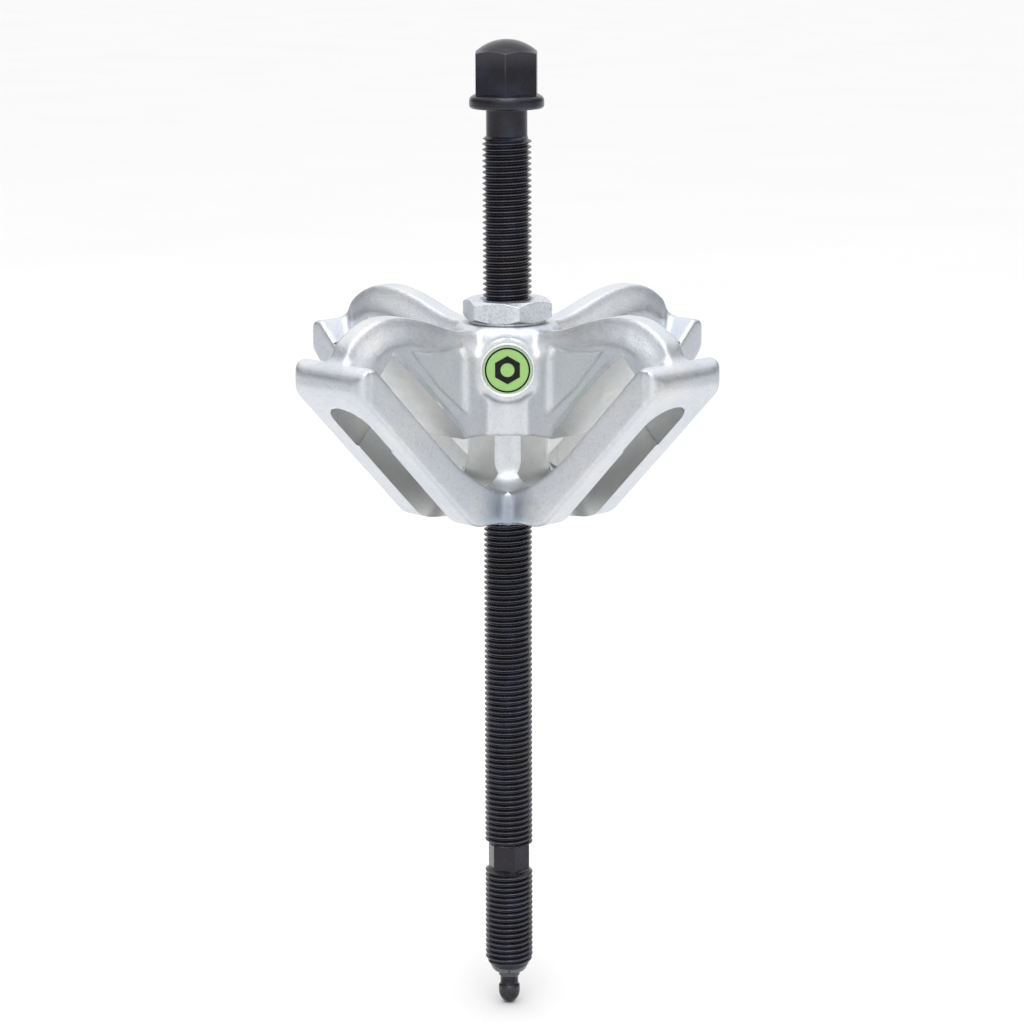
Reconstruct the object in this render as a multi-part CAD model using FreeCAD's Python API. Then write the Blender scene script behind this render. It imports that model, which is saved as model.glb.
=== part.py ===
import FreeCAD, Part
import math
import os

# Head of a four-arm gear puller: a forged crossbeam with a threaded bush in its hub, and the
# forcing spindle that runs through it. Millimetres. Z runs up the spindle, the origin is the
# spindle's point, and the arms lie along +X, +Y, -X and -Y.

V = FreeCAD.Vector

# Spindle, from the point up
SPINDLE_LENGTH = 449.2
THREAD_R = 11.0
END_FACE_Z = 16.0
END_FACE_R = 7.4
END_STEP_R = 8.4
END_STEP_HEIGHT = 1.0
THREAD_BOTTOM_Z = 22.0
SERVICE_HEX_Z = (65.8, 78.5)
SERVICE_HEX_AF = 17.0
NECK_Z = 406.1
NECK_R = 9.2
FLANGE_Z = 418.8
FLANGE_R = 16.7
FLANGE_EDGE = 1.2
FLANGE_RIM = 3.6
FLANGE_SHOULDER = 2.0
HEAD_HEX_Z = 425.3
HEAD_HEX_AF = 27.0
HEAD_TURN = -17.0
HEAD_CORNER_DROP = 1.3
DOME_HEIGHT = 5.0
DOME_BASE_R = 13.3

# Swivelling point in the spindle's end
TIP_R = 4.95
TIP_NECK_R = 4.2
TIP_COLLAR_Z = (6.0, 9.0)
TIP_COLLAR_EDGE = 0.4
TIP_SHOULDER_Z = 13.8
TIP_SHOULDER_EDGE = 0.6
NOSE_STEPS = (25, 45, 65, 90)
TIP_GAP = 0.1
SHANK_R = 3.95
SHANK_TOP_Z = 28.0
SHANK_BORE_CLEARANCE = 0.05
BALL_R = 3.0
RING_Z = (23.4, 24.6)
RING_R = (3.3, 4.6)
RING_CLEARANCE = 0.1

# Crossbeam
BEAM_Z = 237.8
ARM_COUNT = 4
ARM_WIDTH = 46.0
ARM_REACH = 109.7
SLOPE = 45.0
SLOPE_START = 43.3
SLAB_THICKNESS = 13.5
CHANNEL_HEIGHT = 17.2
CHANNEL_END = 83.0
TIP_TOP = 78.0
TIP_TOP_R = 7.0
TIP_HEEL_R = 7.2
CENTRE_THICKNESS = 12.5
CURVE_START = 60.0
CURVE_END = 24.0
HEEL_R = 15.0
EDGE_R = 3.0
SLOT_WIDTH = 20.5
KEY_WIDTH = 23.0
KEY_START = 54.3
SLOT_START = -10.1
SLOT_OVERRUN = 7.0
WEB_WIDTH = 22.0
RIB_WIDTH = 10.0
RIB_SHOULDER = 7.0
RIB_FOOT = 2.0
RIB_TOP = ((0.0, 83.5), (21.0, 83.5), (34.5, 85.2), (44.0, 87.9), (53.0, 91.0), (62.0, 93.5),
           (70.0, 95.0), (78.0, 95.3), (84.0, 94.5), (90.0, 92.4), (95.0, 89.6), (99.4, 86.0),
           (101.6, 82.2), (103.5, TIP_TOP - 1.0))
POCKET_DEPTH = 1.5
POCKET = ((32.5, 46.5), (51.5, 62.0), (69.5, 81.5), (60.0, 79.5), (50.5, 78.6), (42.0, 79.0),
          (32.5, 79.8))

# Hub, column and badge boss
HUB_R = 25.5
HUB_BOTTOM = 38.0
HUB_TOP = 86.0
HUB_SEAT_R = 19.5
HUB_SHOULDER = ((25.5, 76.0), (24.6, 80.0), (22.4, 83.6))
COLUMN_R = 18.2
COLUMN_FLAT = 16.3
FLAT_FOOT_R = 12.0
COLUMN_BORE_R = 11.6
BOSS_HEIGHT = 68.0
BOSS_R = 14.5
BOSS_FACE = 28.5
BOSS_TURN = -45.0
BADGE_R = 11.5
BADGE_THICKNESS = 1.3
BADGE_SINK = 1.5
BADGE_CLEARANCE = 0.1

# Threaded bush and its lock screw
BUSH_R = 15.0
BUSH_BOTTOM = 42.0
BUSH_HEX_AF = 36.0
BUSH_CHAMFER = 0.5
BUSH_CHAMFER_ANGLE = 30.0
BUSH_TOP = 96.2
BUSH_CLEARANCE = 0.05
LEAD_IN = 1.5
SCREW_R = 3.0
SCREW_LENGTH = 9.0
SCREW_SOCKET_AF = 3.0
SCREW_SOCKET_DEPTH = 3.0

AXIS = V(0, 0, 1)
SIN = math.sin(math.radians(SLOPE))
COS = math.cos(math.radians(SLOPE))


def cylinder(radius, low, high):
    return Part.makeCylinder(radius, high - low, V(0, 0, low), AXIS)


def hexagon(across_flats, low, high, turn=0.0):
    """A hexagonal bar along Z, with a flat facing +X before it is turned."""
    radius = across_flats / math.sqrt(3)
    corners = [V(radius * math.cos(math.radians(30 + 60 * i + turn)),
                 radius * math.sin(math.radians(30 + 60 * i + turn)), low) for i in range(7)]
    return Part.Face(Part.makePolygon(corners)).extrude(V(0, 0, high - low))


def revolve(outline):
    """A solid of revolution about Z from (radius, height) points."""
    points = [V(r, 0, z) for r, z in outline]
    face = Part.Face(Part.makePolygon(points + points[:1]))
    return face.revolve(V(0, 0, 0), AXIS, 360)


def along_slope(u, n):
    """(reach, height) of a point u up the arm's outer face and n into the arm from it."""
    return SLOPE_START + u * COS - n * SIN, u * SIN + n * COS


def upright(points):
    """A face in the XZ plane from (reach, height) points above the beam's underside."""
    corners = [V(a, 0, BEAM_Z + z) for a, z in points]
    return Part.Face(Part.makePolygon(corners + corners[:1]))


def plate(face, width):
    """The face's full-width slab, centred on the XZ plane."""
    slab = face.extrude(V(0, width, 0))
    slab.translate(V(0, -width / 2, 0))
    return slab


def inner_face_height(reach):
    """Height of the slab's inner, upper face above the beam's underside."""
    return reach - SLOPE_START * math.tan(math.radians(SLOPE)) + SLAB_THICKNESS / COS


def rail_outline():
    """Closed wire of the slab and the tip block: straight runs joined by tangent arcs."""
    def at(a, z):
        return V(a, 0, BEAM_Z + z)

    half = math.radians(SLOPE) / 2
    tangent = HEEL_R * math.tan(half)
    heel_in, heel_out = SLOPE_START - tangent, (SLOPE_START + tangent * COS, tangent * SIN)
    heel_mid = (heel_in + HEEL_R * math.sin(half), HEEL_R * (1 - math.cos(half)))
    tip_run = TIP_HEEL_R * math.tan(half)
    tip_corner = (ARM_REACH - SLOPE_START) * math.tan(math.radians(SLOPE))
    outer_end = (ARM_REACH - tip_run * COS, tip_corner - tip_run * SIN)
    end_low = (ARM_REACH, tip_corner + tip_run)
    outer_mid = (ARM_REACH - TIP_HEEL_R * (1 - math.cos(half)), end_low[1] - TIP_HEEL_R * math.sin(half))
    end_high = (ARM_REACH, TIP_TOP - TIP_TOP_R)
    top_outer = (ARM_REACH - TIP_TOP_R, TIP_TOP)
    top_mid = (top_outer[0] + TIP_TOP_R * math.sin(math.pi / 4),
               end_high[1] + TIP_TOP_R * math.cos(math.pi / 4))
    top_inner = (TIP_TOP - inner_face_height(0.0), TIP_TOP)
    curve_top = (CURVE_START, inner_face_height(CURVE_START))
    chord = math.atan2(curve_top[1] - CENTRE_THICKNESS, CURVE_START - CURVE_END)
    run = (CURVE_START - CURVE_END) / math.cos(chord)
    sag = run / 2 * math.tan((math.radians(SLOPE) - chord) / 2)
    curve_mid = ((CURVE_START + CURVE_END) / 2 + sag * math.sin(chord),
                 (curve_top[1] + CENTRE_THICKNESS) / 2 - sag * math.cos(chord))
    edges = [Part.makeLine(at(0, 0), at(heel_in, 0)),
             Part.Arc(at(heel_in, 0), at(*heel_mid), at(*heel_out)).toShape(),
             Part.makeLine(at(*heel_out), at(*outer_end)),
             Part.Arc(at(*outer_end), at(*outer_mid), at(*end_low)).toShape(),
             Part.makeLine(at(*end_low), at(*end_high)),
             Part.Arc(at(*end_high), at(*top_mid), at(*top_outer)).toShape(),
             Part.makeLine(at(*top_outer), at(*top_inner)),
             Part.makeLine(at(*top_inner), at(*curve_top)),
             Part.Arc(at(*curve_top), at(*curve_mid), at(CURVE_END, CENTRE_THICKNESS)).toShape(),
             Part.makeLine(at(CURVE_END, CENTRE_THICKNESS), at(0, CENTRE_THICKNESS)),
             Part.makeLine(at(0, CENTRE_THICKNESS), at(0, 0))]
    return Part.Wire(edges)


def slope_prism(width, u_low, u_high, n_low, n_high, round_low, round_high):
    """A slot-shaped cutter that runs through the slab, square to its outer face."""
    half = width / 2
    low = u_low + half if round_low else u_low
    high = u_high - half if round_high else u_high
    box = plate(upright([along_slope(low, n_low), along_slope(high, n_low),
                         along_slope(high, n_high), along_slope(low, n_high)]), width)
    cutter = box
    for is_round, u in ((round_low, low), (round_high, high)):
        if is_round:
            a, z = along_slope(u, n_low)
            cutter = cutter.fuse(Part.makeCylinder(half, n_high - n_low, V(a, 0, BEAM_Z + z),
                                                   V(-SIN, 0, COS)))
    return cutter.removeSplitter()


def rail():
    """The arm's slab and tip block, with its long edges rounded."""
    slab = plate(Part.Face(rail_outline()), ARM_WIDTH)
    long_edges = []
    for edge in slab.Edges:
        box = edge.BoundBox
        on_side = box.YLength < 0.01 and abs(abs(box.YMin) - ARM_WIDTH / 2) < 0.01
        if on_side and box.XMax > 1.0:
            long_edges.append(edge)
    return slab.makeFillet(EDGE_R, long_edges)


def web():
    """The upright wall over the channel, with a narrower rib along its top."""
    ceiling = SLAB_THICKNESS + CHANNEL_HEIGHT
    foot_z = TIP_TOP - RIB_FOOT
    ceiling_foot = (HUB_BOTTOM + SLOPE_START - ceiling / COS, HUB_BOTTOM)
    lower = [(0, HUB_BOTTOM), ceiling_foot, along_slope(CHANNEL_END, ceiling),
             along_slope(CHANNEL_END, SLAB_THICKNESS - RIB_FOOT), (ARM_REACH - TIP_TOP_R, foot_z)]
    shoulder = [(a, max(z - RIB_SHOULDER, foot_z)) for a, z in RIB_TOP[::-1] if a < ARM_REACH - TIP_TOP_R]
    wall = plate(upright(lower + shoulder), WEB_WIDTH)
    rib = plate(upright(lower + list(RIB_TOP[::-1])), RIB_WIDTH)
    body = wall.fuse(rib)
    for side in (1, -1):
        pocket = upright(POCKET).extrude(V(0, side * WEB_WIDTH, 0))
        pocket.translate(V(0, side * (WEB_WIDTH / 2 - POCKET_DEPTH), 0))
        body = body.cut(pocket)
    return body


def arm():
    return rail().fuse(web())


def arm_cut():
    """The keyhole slot through the slab, and the flat that it leaves on the column."""
    through = SLAB_THICKNESS + SLOT_OVERRUN
    narrow = slope_prism(SLOT_WIDTH, SLOT_START, KEY_START + 5, -20.0, through, True, False)
    key = slope_prism(KEY_WIDTH, KEY_START, CHANNEL_END, -20.0, through, False, True)
    foot_z = SLOPE_START - COLUMN_FLAT - FLAT_FOOT_R * (2 - 1 / COS)
    foot = [(COLUMN_FLAT + FLAT_FOOT_R * (1 - math.cos(math.radians(t))),
             foot_z - FLAT_FOOT_R * math.sin(math.radians(t))) for t in (0, 15, 30, 45)]
    flat = plate(upright([(COLUMN_FLAT, HUB_BOTTOM)] + foot
                         + [(SLOPE_START, foot[-1][1]), (SLOPE_START, HUB_BOTTOM)]), SLOT_WIDTH)
    return narrow.fuse(key).fuse(flat)


def turned(shape, angle):
    copy = shape.copy()
    copy.rotate(V(0, 0, 0), AXIS, angle)
    return copy


def towards_badge(shape):
    """Lay a shape built along Z down to point at the badge, at the badge's height."""
    copy = shape.copy()
    copy.rotate(V(0, 0, 0), V(0, 1, 0), 90)
    copy.rotate(V(0, 0, 0), AXIS, BOSS_TURN)
    copy.translate(V(0, 0, BEAM_Z + BOSS_HEIGHT))
    return copy


def crossbeam():
    column = cylinder(COLUMN_R, BEAM_Z, BEAM_Z + HUB_BOTTOM)
    shoulder = [(r, BEAM_Z + z) for r, z in HUB_SHOULDER]
    hub = revolve([(0, BEAM_Z + HUB_BOTTOM), (HUB_R, BEAM_Z + HUB_BOTTOM)] + shoulder
                  + [(HUB_SEAT_R, BEAM_Z + HUB_TOP), (0, BEAM_Z + HUB_TOP)])
    boss = towards_badge(cylinder(BOSS_R, 0, BOSS_FACE))
    body = column.fuse([hub, boss] + [turned(arm(), 90 * i) for i in range(ARM_COUNT)])
    body = body.removeSplitter()
    cuts = [turned(arm_cut(), 90 * i) for i in range(ARM_COUNT)]
    cuts.append(cylinder(BUSH_R, BEAM_Z + BUSH_BOTTOM, BEAM_Z + HUB_TOP + 1))
    cuts.append(cylinder(COLUMN_BORE_R, BEAM_Z - 1, BEAM_Z + BUSH_BOTTOM + 1))
    cuts.append(towards_badge(cylinder(BADGE_R + BADGE_CLEARANCE, BOSS_FACE - BADGE_SINK, BOSS_FACE + 1)))
    cuts.append(towards_badge(cylinder(SCREW_R, BUSH_R - 1, BOSS_FACE)))
    return body.cut(cuts)


def threaded_bush():
    top = BEAM_Z + BUSH_TOP
    seat = BEAM_Z + HUB_TOP
    corner = BUSH_HEX_AF / math.sqrt(3)
    chamfer_r = BUSH_HEX_AF / 2 - BUSH_CHAMFER
    drop = (corner - chamfer_r) * math.tan(math.radians(BUSH_CHAMFER_ANGLE))
    turning = revolve([(0, seat), (chamfer_r, seat), (corner, seat + drop), (corner, top - drop),
                       (chamfer_r, top), (0, top)])
    head = hexagon(BUSH_HEX_AF, seat, top).common(turning)
    barrel = cylinder(BUSH_R, BEAM_Z + BUSH_BOTTOM, seat)
    bore_r = THREAD_R + BUSH_CLEARANCE
    bore = revolve([(0, BEAM_Z), (bore_r, BEAM_Z), (bore_r, top - LEAD_IN),
                    (bore_r + 2 * LEAD_IN, top + LEAD_IN), (0, top + LEAD_IN)])
    return head.fuse(barrel).removeSplitter().cut(bore)


def bush_lock_screw():
    """Grub screw that bears on the bush, behind the badge."""
    body = cylinder(SCREW_R, BUSH_R, BUSH_R + SCREW_LENGTH)
    socket = hexagon(SCREW_SOCKET_AF, BUSH_R + SCREW_LENGTH - SCREW_SOCKET_DEPTH, BOSS_FACE)
    return towards_badge(body.cut(socket))


def badge_disc():
    floor = BOSS_FACE - BADGE_SINK
    disc = cylinder(BADGE_R, floor, floor + BADGE_THICKNESS)
    return towards_badge(disc)


def spindle():
    shank_r = SHANK_R + SHANK_BORE_CLEARANCE
    dome_base = SPINDLE_LENGTH - DOME_HEIGHT
    dome_r = (DOME_BASE_R ** 2 + DOME_HEIGHT ** 2) / (2 * DOME_HEIGHT)
    dome = Part.makeSphere(dome_r, V(0, 0, SPINDLE_LENGTH - dome_r))
    dome = dome.common(cylinder(DOME_BASE_R, dome_base - 1, SPINDLE_LENGTH))
    lower = revolve([(0, END_FACE_Z), (END_FACE_R, END_FACE_Z), (END_STEP_R, END_FACE_Z + END_STEP_HEIGHT),
                     (THREAD_R, THREAD_BOTTOM_Z), (THREAD_R, SERVICE_HEX_Z[0]), (0, SERVICE_HEX_Z[0])])
    middle = hexagon(SERVICE_HEX_AF, *SERVICE_HEX_Z)
    upper = cylinder(THREAD_R, SERVICE_HEX_Z[1], NECK_Z)
    neck = cylinder(NECK_R, NECK_Z, FLANGE_Z)
    flange = revolve([(0, FLANGE_Z), (FLANGE_R - FLANGE_EDGE, FLANGE_Z),
                      (FLANGE_R, FLANGE_Z + FLANGE_EDGE), (FLANGE_R, FLANGE_Z + FLANGE_RIM),
                      (FLANGE_R - FLANGE_SHOULDER, HEAD_HEX_Z), (0, HEAD_HEX_Z)])
    corner = HEAD_HEX_AF / math.sqrt(3)
    turning = revolve([(0, HEAD_HEX_Z), (corner, HEAD_HEX_Z), (corner, dome_base - HEAD_CORNER_DROP),
                       (DOME_BASE_R, dome_base), (0, dome_base)])
    head = hexagon(HEAD_HEX_AF, HEAD_HEX_Z, dome_base, HEAD_TURN).common(turning)
    body = lower.fuse([middle, upper, neck, flange, head, dome]).removeSplitter()
    ball_top = SHANK_TOP_Z + 2 * BALL_R + SHANK_BORE_CLEARANCE
    socket = revolve([(0, END_FACE_Z - 1), (shank_r, END_FACE_Z - 1), (shank_r, ball_top),
                      (0, ball_top)])
    groove = cylinder(RING_R[1] + RING_CLEARANCE, RING_Z[0] - RING_CLEARANCE, RING_Z[1] + RING_CLEARANCE)
    return body.cut([socket, groove])


def pressure_tip():
    """The point, its snap collar and neck, and the shank that swivels in the spindle."""
    nose_z = TIP_COLLAR_Z[0]
    nose = [(0, 0)] + [(TIP_R * math.sin(math.radians(t)), nose_z * (1 - math.cos(math.radians(t))))
                       for t in NOSE_STEPS]
    outline = nose + [(TIP_R, TIP_COLLAR_Z[1] - TIP_COLLAR_EDGE), (TIP_NECK_R, TIP_COLLAR_Z[1]),
                      (TIP_NECK_R, TIP_SHOULDER_Z - TIP_SHOULDER_EDGE), (TIP_R, TIP_SHOULDER_Z),
                      (TIP_R, END_FACE_Z - TIP_GAP), (SHANK_R, END_FACE_Z - TIP_GAP),
                      (SHANK_R, RING_Z[0]), (RING_R[0], RING_Z[0]), (RING_R[0], RING_Z[1]),
                      (SHANK_R, RING_Z[1]), (SHANK_R, SHANK_TOP_Z), (0, SHANK_TOP_Z)]
    return revolve(outline)


def thrust_ball():
    return Part.makeSphere(BALL_R, V(0, 0, SHANK_TOP_Z + BALL_R))


def tip_retaining_ring():
    return cylinder(RING_R[1], *RING_Z).cut(cylinder(RING_R[0], RING_Z[0] - 1, RING_Z[1] + 1))


NODES = {
    "crossbeam": crossbeam,
    "threaded_bush": threaded_bush,
    "bush_lock_screw": bush_lock_screw,
    "badge_disc": badge_disc,
    "spindle": spindle,
    "pressure_tip": pressure_tip,
    "thrust_ball": thrust_ball,
    "tip_retaining_ring": tip_retaining_ring,
}

os.makedirs("parts", exist_ok=True)
for name, make in NODES.items():
    shape = make()
    box = shape.BoundBox
    print(name, "valid" if shape.isValid() else "INVALID", len(shape.Solids), "solids,",
          f"{shape.Volume / 1000:.1f} cm3, X {box.XMin:.1f} {box.XMax:.1f}",
          f"Y {box.YMin:.1f} {box.YMax:.1f} Z {box.ZMin:.1f} {box.ZMax:.1f}")
    shape.exportStep(f"parts/{name}.step")
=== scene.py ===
import math

import bmesh
import bpy
import numpy as np
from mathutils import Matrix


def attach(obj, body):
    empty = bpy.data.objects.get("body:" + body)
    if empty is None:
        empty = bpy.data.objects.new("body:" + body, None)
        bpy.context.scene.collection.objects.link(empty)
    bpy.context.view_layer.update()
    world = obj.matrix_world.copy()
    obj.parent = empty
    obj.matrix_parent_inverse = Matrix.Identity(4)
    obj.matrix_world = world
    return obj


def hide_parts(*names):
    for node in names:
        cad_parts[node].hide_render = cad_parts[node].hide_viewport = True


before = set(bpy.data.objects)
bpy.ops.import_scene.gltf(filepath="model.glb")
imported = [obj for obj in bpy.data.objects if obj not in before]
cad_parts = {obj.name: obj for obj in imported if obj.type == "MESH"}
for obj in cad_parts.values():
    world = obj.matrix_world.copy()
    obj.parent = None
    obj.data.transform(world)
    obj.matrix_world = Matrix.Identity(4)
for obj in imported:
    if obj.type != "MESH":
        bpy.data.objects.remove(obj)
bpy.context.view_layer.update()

import openvdb
from mathutils import Matrix, Vector

# Head of a four-arm gear puller. Sizes are in millimetres until a mesh is made, and then in
# metres. Z runs up the spindle from its point. On the crossbeam, "reach" is the distance from
# the spindle's axis along an arm, and "height" is measured from the beam's underside.

MM = 0.001

# Crossbeam
BEAM_Z = 237.8
ARM_WIDTH = 46.0
ARM_REACH = 109.7
SLOPE_START = 43.3
SLAB = 13.5
CHANNEL = 17.2
CHANNEL_END = 83.0
TIP_TOP = 78.0
TIP_TOP_R = 7.0
TIP_HEEL_R = 7.2
TIP_CORNER_R = 6.0
TIP_MARGIN = 0.05
PLATE = 12.5
CURVE_START = 60.0
CURVE_END = 24.0
HEEL_R = 15.0
EDGE_R = 1.7
SLOT_WIDTH = 20.5
KEY_WIDTH = 23.0
KEY_START = 54.3
SLOT_START = -10.1
WEB_HALF = 11.0
RIB_HALF = 4.9
RIB_FLARE = 12.0
RIB_TOP = ((-9.0, 83.5), (0.0, 83.5), (21.0, 83.6), (34.5, 85.2), (44.0, 87.9), (53.0, 91.0),
           (62.0, 93.5), (70.0, 95.0), (78.0, 95.3), (84.0, 94.5), (90.0, 92.4), (95.0, 89.6),
           (99.4, 86.0), (101.6, 82.2), (103.2, 78.0), (103.6, 74.0))
POCKET = ((32.5, 46.5), (51.5, 62.0), (69.5, 81.5), (60.0, 79.5), (50.5, 78.6), (42.0, 79.0),
          (32.5, 79.8))
POCKET_DEPTH = 1.8
POCKET_INNER = (34.0, 38.5)
CEILING_LIP = 2.8
MILLING = 0.8
HUB_R = 25.5
HUB_SHOULDER_R = 9.0
HUB_BOTTOM = 38.0
HUB_TOP = 86.0
HUB_ROUGH = 0.5
HUB_FACING = 0.4
HUB_FACE_R = 21.0
COLUMN_R = 18.2
COLUMN_FLAT = 16.3
FLAT_FOOT_R = 12.0
BORE_R = 11.6
BOSS_HEIGHT = 68.0
BOSS_R = 14.6
BOSS_FACE = 28.5
BOSS_EDGE_R = 1.4
BOSS_TURN = -45.0
BADGE_R = 11.5
BADGE_SINK = 1.5
BADGE_RING = (9.35, 10.1)
BADGE_MARGIN = (10.1, 11.0)
SCREW_R = 3.0

# How widely one part of the forging runs into the next
WEB_BLEND = 4.0
ARM_BLEND = 6.0
COLUMN_BLEND = 11.0
HUB_BLEND = 2.0
BOSS_BLEND = 3.0

# How far the cutters run past what they cut, where two of them must not end on one plane
CHANNEL_OVERCUT = 0.6
FLAT_OVERCUT = 0.06

# Grid on which the forging is worked out
VOXEL = 0.95
GRID_REACH = 112.5
GRID_LOW = -3.6
GRID_HIGH = 99.0
FIELD_LIMIT = 3.0
SKIN_WAVE = 0.10
SKIN_GRAIN = (9, 17)
SKIN_SEED = 7
SEAM_HALF = 1.7
SEAM_HEIGHT = 0.55
SEAM_START = 27
SEAM_FADE = 3

# Threaded bush
BUSH_AF = 36.0
BUSH_BARREL_R = 15.0
BUSH_BOTTOM = 42.0
BUSH_TOP = 96.2
BUSH_LIFT = 0.7
BUSH_CLEARANCE = 0.05
THREAD_CLEARANCE = 0.06
CHAMFER_ANGLE = 30.0

# Spindle
PITCH = 2.5
THREAD_R = 11.0
ROOT_R = 9.47
SPINDLE_LENGTH = 449.2
END_FACE_Z = 16.4
THREAD_BOTTOM_Z = 22.0
SERVICE_HEX_Z = (65.8, 78.5)
SERVICE_AF = 17.0
NECK_Z = 406.1
NECK_R = 9.2
FLANGE_Z = 418.8
FLANGE_R = 16.7
HEAD_HEX_Z = 425.3
HEAD_AF = 27.0
HEAD_TURN = -17.0
DOME_HEIGHT = 5.0
DOME_R = 13.3
HEAD_CORNER_DROP = 1.3
THREAD_STEPS = 64

# Pressure tip
TIP_R = 4.95
TIP_NECK_R = 4.2
TIP_SHANK_R = 3.95

# Camera, in metres and degrees
LENS = 106.9
LENS_SHIFT = 0.0040
AZIMUTH = 45
ELEVATION = 11.87
ROLL = -0.175
DISTANCE = 1.386
TARGET = (0, 0, 0.2358)

# Light
LIGHT_AIM = (0, 0, 0.24)
BRIGHT_HORIZON = 1.05
DARK_HORIZON = 0.15
BRIGHT_SKY = 1.35

# Radius on the corners of the bush's and the service hexagon
HEX_EASING = 0.5

# Distance in metres within which vertices are joined
WELD = 1e-7

SIN = COS = math.sqrt(0.5)


def slope(u, n):
    """(reach, height) of a point u up the arm's outer face and n into the arm from it."""
    return SLOPE_START + u * COS - n * SIN, u * SIN + n * COS


def arc(centre, radius, start, end, steps=8):
    """Points on an arc, by angle in degrees."""
    angles = np.radians(np.linspace(start, end, steps + 1))
    return [(centre[0] + radius * math.cos(t), centre[1] + radius * math.sin(t)) for t in angles]


def spline(points, steps=6):
    """Catmull-Rom curve through the points."""
    pts = np.array([points[0], *points, points[-1]], dtype=float)
    curve = []
    for p0, p1, p2, p3 in zip(pts, pts[1:], pts[2:], pts[3:]):
        for t in np.linspace(0, 1, steps, endpoint=False):
            curve.append(0.5 * (2 * p1 + (p2 - p0) * t + (2 * p0 - 5 * p1 + 4 * p2 - p3) * t ** 2
                                + (3 * p1 - p0 - 3 * p2 + p3) * t ** 3))
    return [tuple(p) for p in curve] + [tuple(points[-1])]


# ---------------------------------------------------------------- the forging as a distance field

def smooth_max(a, b, blend):
    mix = np.clip(0.5 + 0.5 * (a - b) / blend, 0, 1)
    return b + (a - b) * mix + blend * mix * (1 - mix)


def smooth_min(a, b, blend):
    return -smooth_max(-a, -b, blend)


def rounded_meet(a, b, radius):
    """Inside both of two distances, with the edge where they meet rounded to a radius."""
    a, b = a + radius, b + radius
    return np.hypot(np.maximum(a, 0), np.maximum(b, 0)) + np.minimum(np.maximum(a, b), 0) - radius


def smooth_step(x):
    x = np.clip(x, 0, 1)
    return x * x * (3 - 2 * x)


def line_distance(points, x, y, closed):
    """Unsigned distance to a polyline, and whether each place is inside it."""
    pts = list(points) + ([points[0]] if closed else [])
    best = np.full(np.broadcast(x, y).shape, 1e9)
    inside = np.zeros(best.shape, dtype=bool)
    for (x0, y0), (x1, y1) in zip(pts, pts[1:]):
        dx, dy = x1 - x0, y1 - y0
        length2 = dx * dx + dy * dy
        if length2 < 1e-12:
            continue
        t = np.clip(((x - x0) * dx + (y - y0) * dy) / length2, 0, 1)
        best = np.minimum(best, np.hypot(x - x0 - t * dx, y - y0 - t * dy))
        crosses = (y0 > y) != (y1 > y)
        if dy:
            inside ^= crosses & (x < x0 + (y - y0) * dx / dy)
    return best, inside


def area_distance(points, x, y):
    """Signed distance to a closed outline, negative inside."""
    far, inside = line_distance(points, x, y, closed=True)
    return np.where(inside, -far, far)


def inner_face(thickness):
    """The slab's inner line: from the tip down the slope, round the curve, on to the plate."""
    rise = thickness / COS - SLOPE_START
    lift = thickness - SLAB
    curve_z = CURVE_START + rise
    chord = math.atan2(curve_z - PLATE - lift, CURVE_START - CURVE_END)
    turn = math.radians(45) - chord
    radius = math.hypot(CURVE_START - CURVE_END, curve_z - PLATE - lift) / 2 / math.sin(turn)
    centre = (CURVE_START - radius * SIN, curve_z + radius * COS)
    low = math.degrees(chord - turn) - 90
    return arc(centre, radius, -45, low, 12)


def rail_outline():
    half = math.radians(22.5)
    heel = SLOPE_START - HEEL_R * math.tan(half)
    tip_z = ARM_REACH - SLOPE_START + TIP_HEEL_R * math.tan(half)
    rough = SLAB + MILLING
    top_inner = TIP_TOP - rough / COS + SLOPE_START
    outline = [(-8.0, 0.0)]
    outline += arc((heel, HEEL_R), HEEL_R, -90, -45)
    outline += arc((ARM_REACH - TIP_HEEL_R, tip_z), TIP_HEEL_R, -45, 0)
    outline += arc((ARM_REACH - TIP_TOP_R, TIP_TOP - TIP_TOP_R), TIP_TOP_R, 0, 90)
    outline += [(min(top_inner, ARM_REACH - TIP_TOP_R - 0.2), TIP_TOP)]
    outline += inner_face(rough)
    outline += [(-8.0, PLATE + MILLING)]
    return outline


def web_outline():
    ceiling = SLAB + CHANNEL - 1.0
    foot = (HUB_BOTTOM + SLOPE_START - ceiling / COS, HUB_BOTTOM)
    return [(-8.0, HUB_BOTTOM), foot, slope(CHANNEL_END - 1.5, ceiling),
            slope(CHANNEL_END - 1.5, SLAB - 3), (102.0, 66.0)] + spline(RIB_TOP)[::-1]


def web_half_width(a, z):
    """Half the wall's thickness: a narrow rib flaring to the web, with the recess and the lip."""
    depth, _ = line_distance(spline(RIB_TOP), a, z, closed=False)
    t = np.clip(depth / RIB_FLARE, 0, 1)
    flare = 0.45 * t + 0.55 * smooth_step(t)
    recess = 1 - smooth_step((area_distance(POCKET, a, z) + 0.9) / 1.6)
    recess = recess * smooth_step((a - POCKET_INNER[0]) / (POCKET_INNER[1] - POCKET_INNER[0]))
    across_slope = (z - a + SLOPE_START) * COS - SLAB - CHANNEL
    along_slope = (z + a - SLOPE_START) * COS
    lip = CEILING_LIP * (1 - smooth_step(across_slope / 4.5))
    lip = lip * smooth_step((a - 36) / 8) * (1 - smooth_step((along_slope - CHANNEL_END + 16) / 12))
    return RIB_HALF + (WEB_HALF - RIB_HALF) * flare - POCKET_DEPTH * recess + lip


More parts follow.
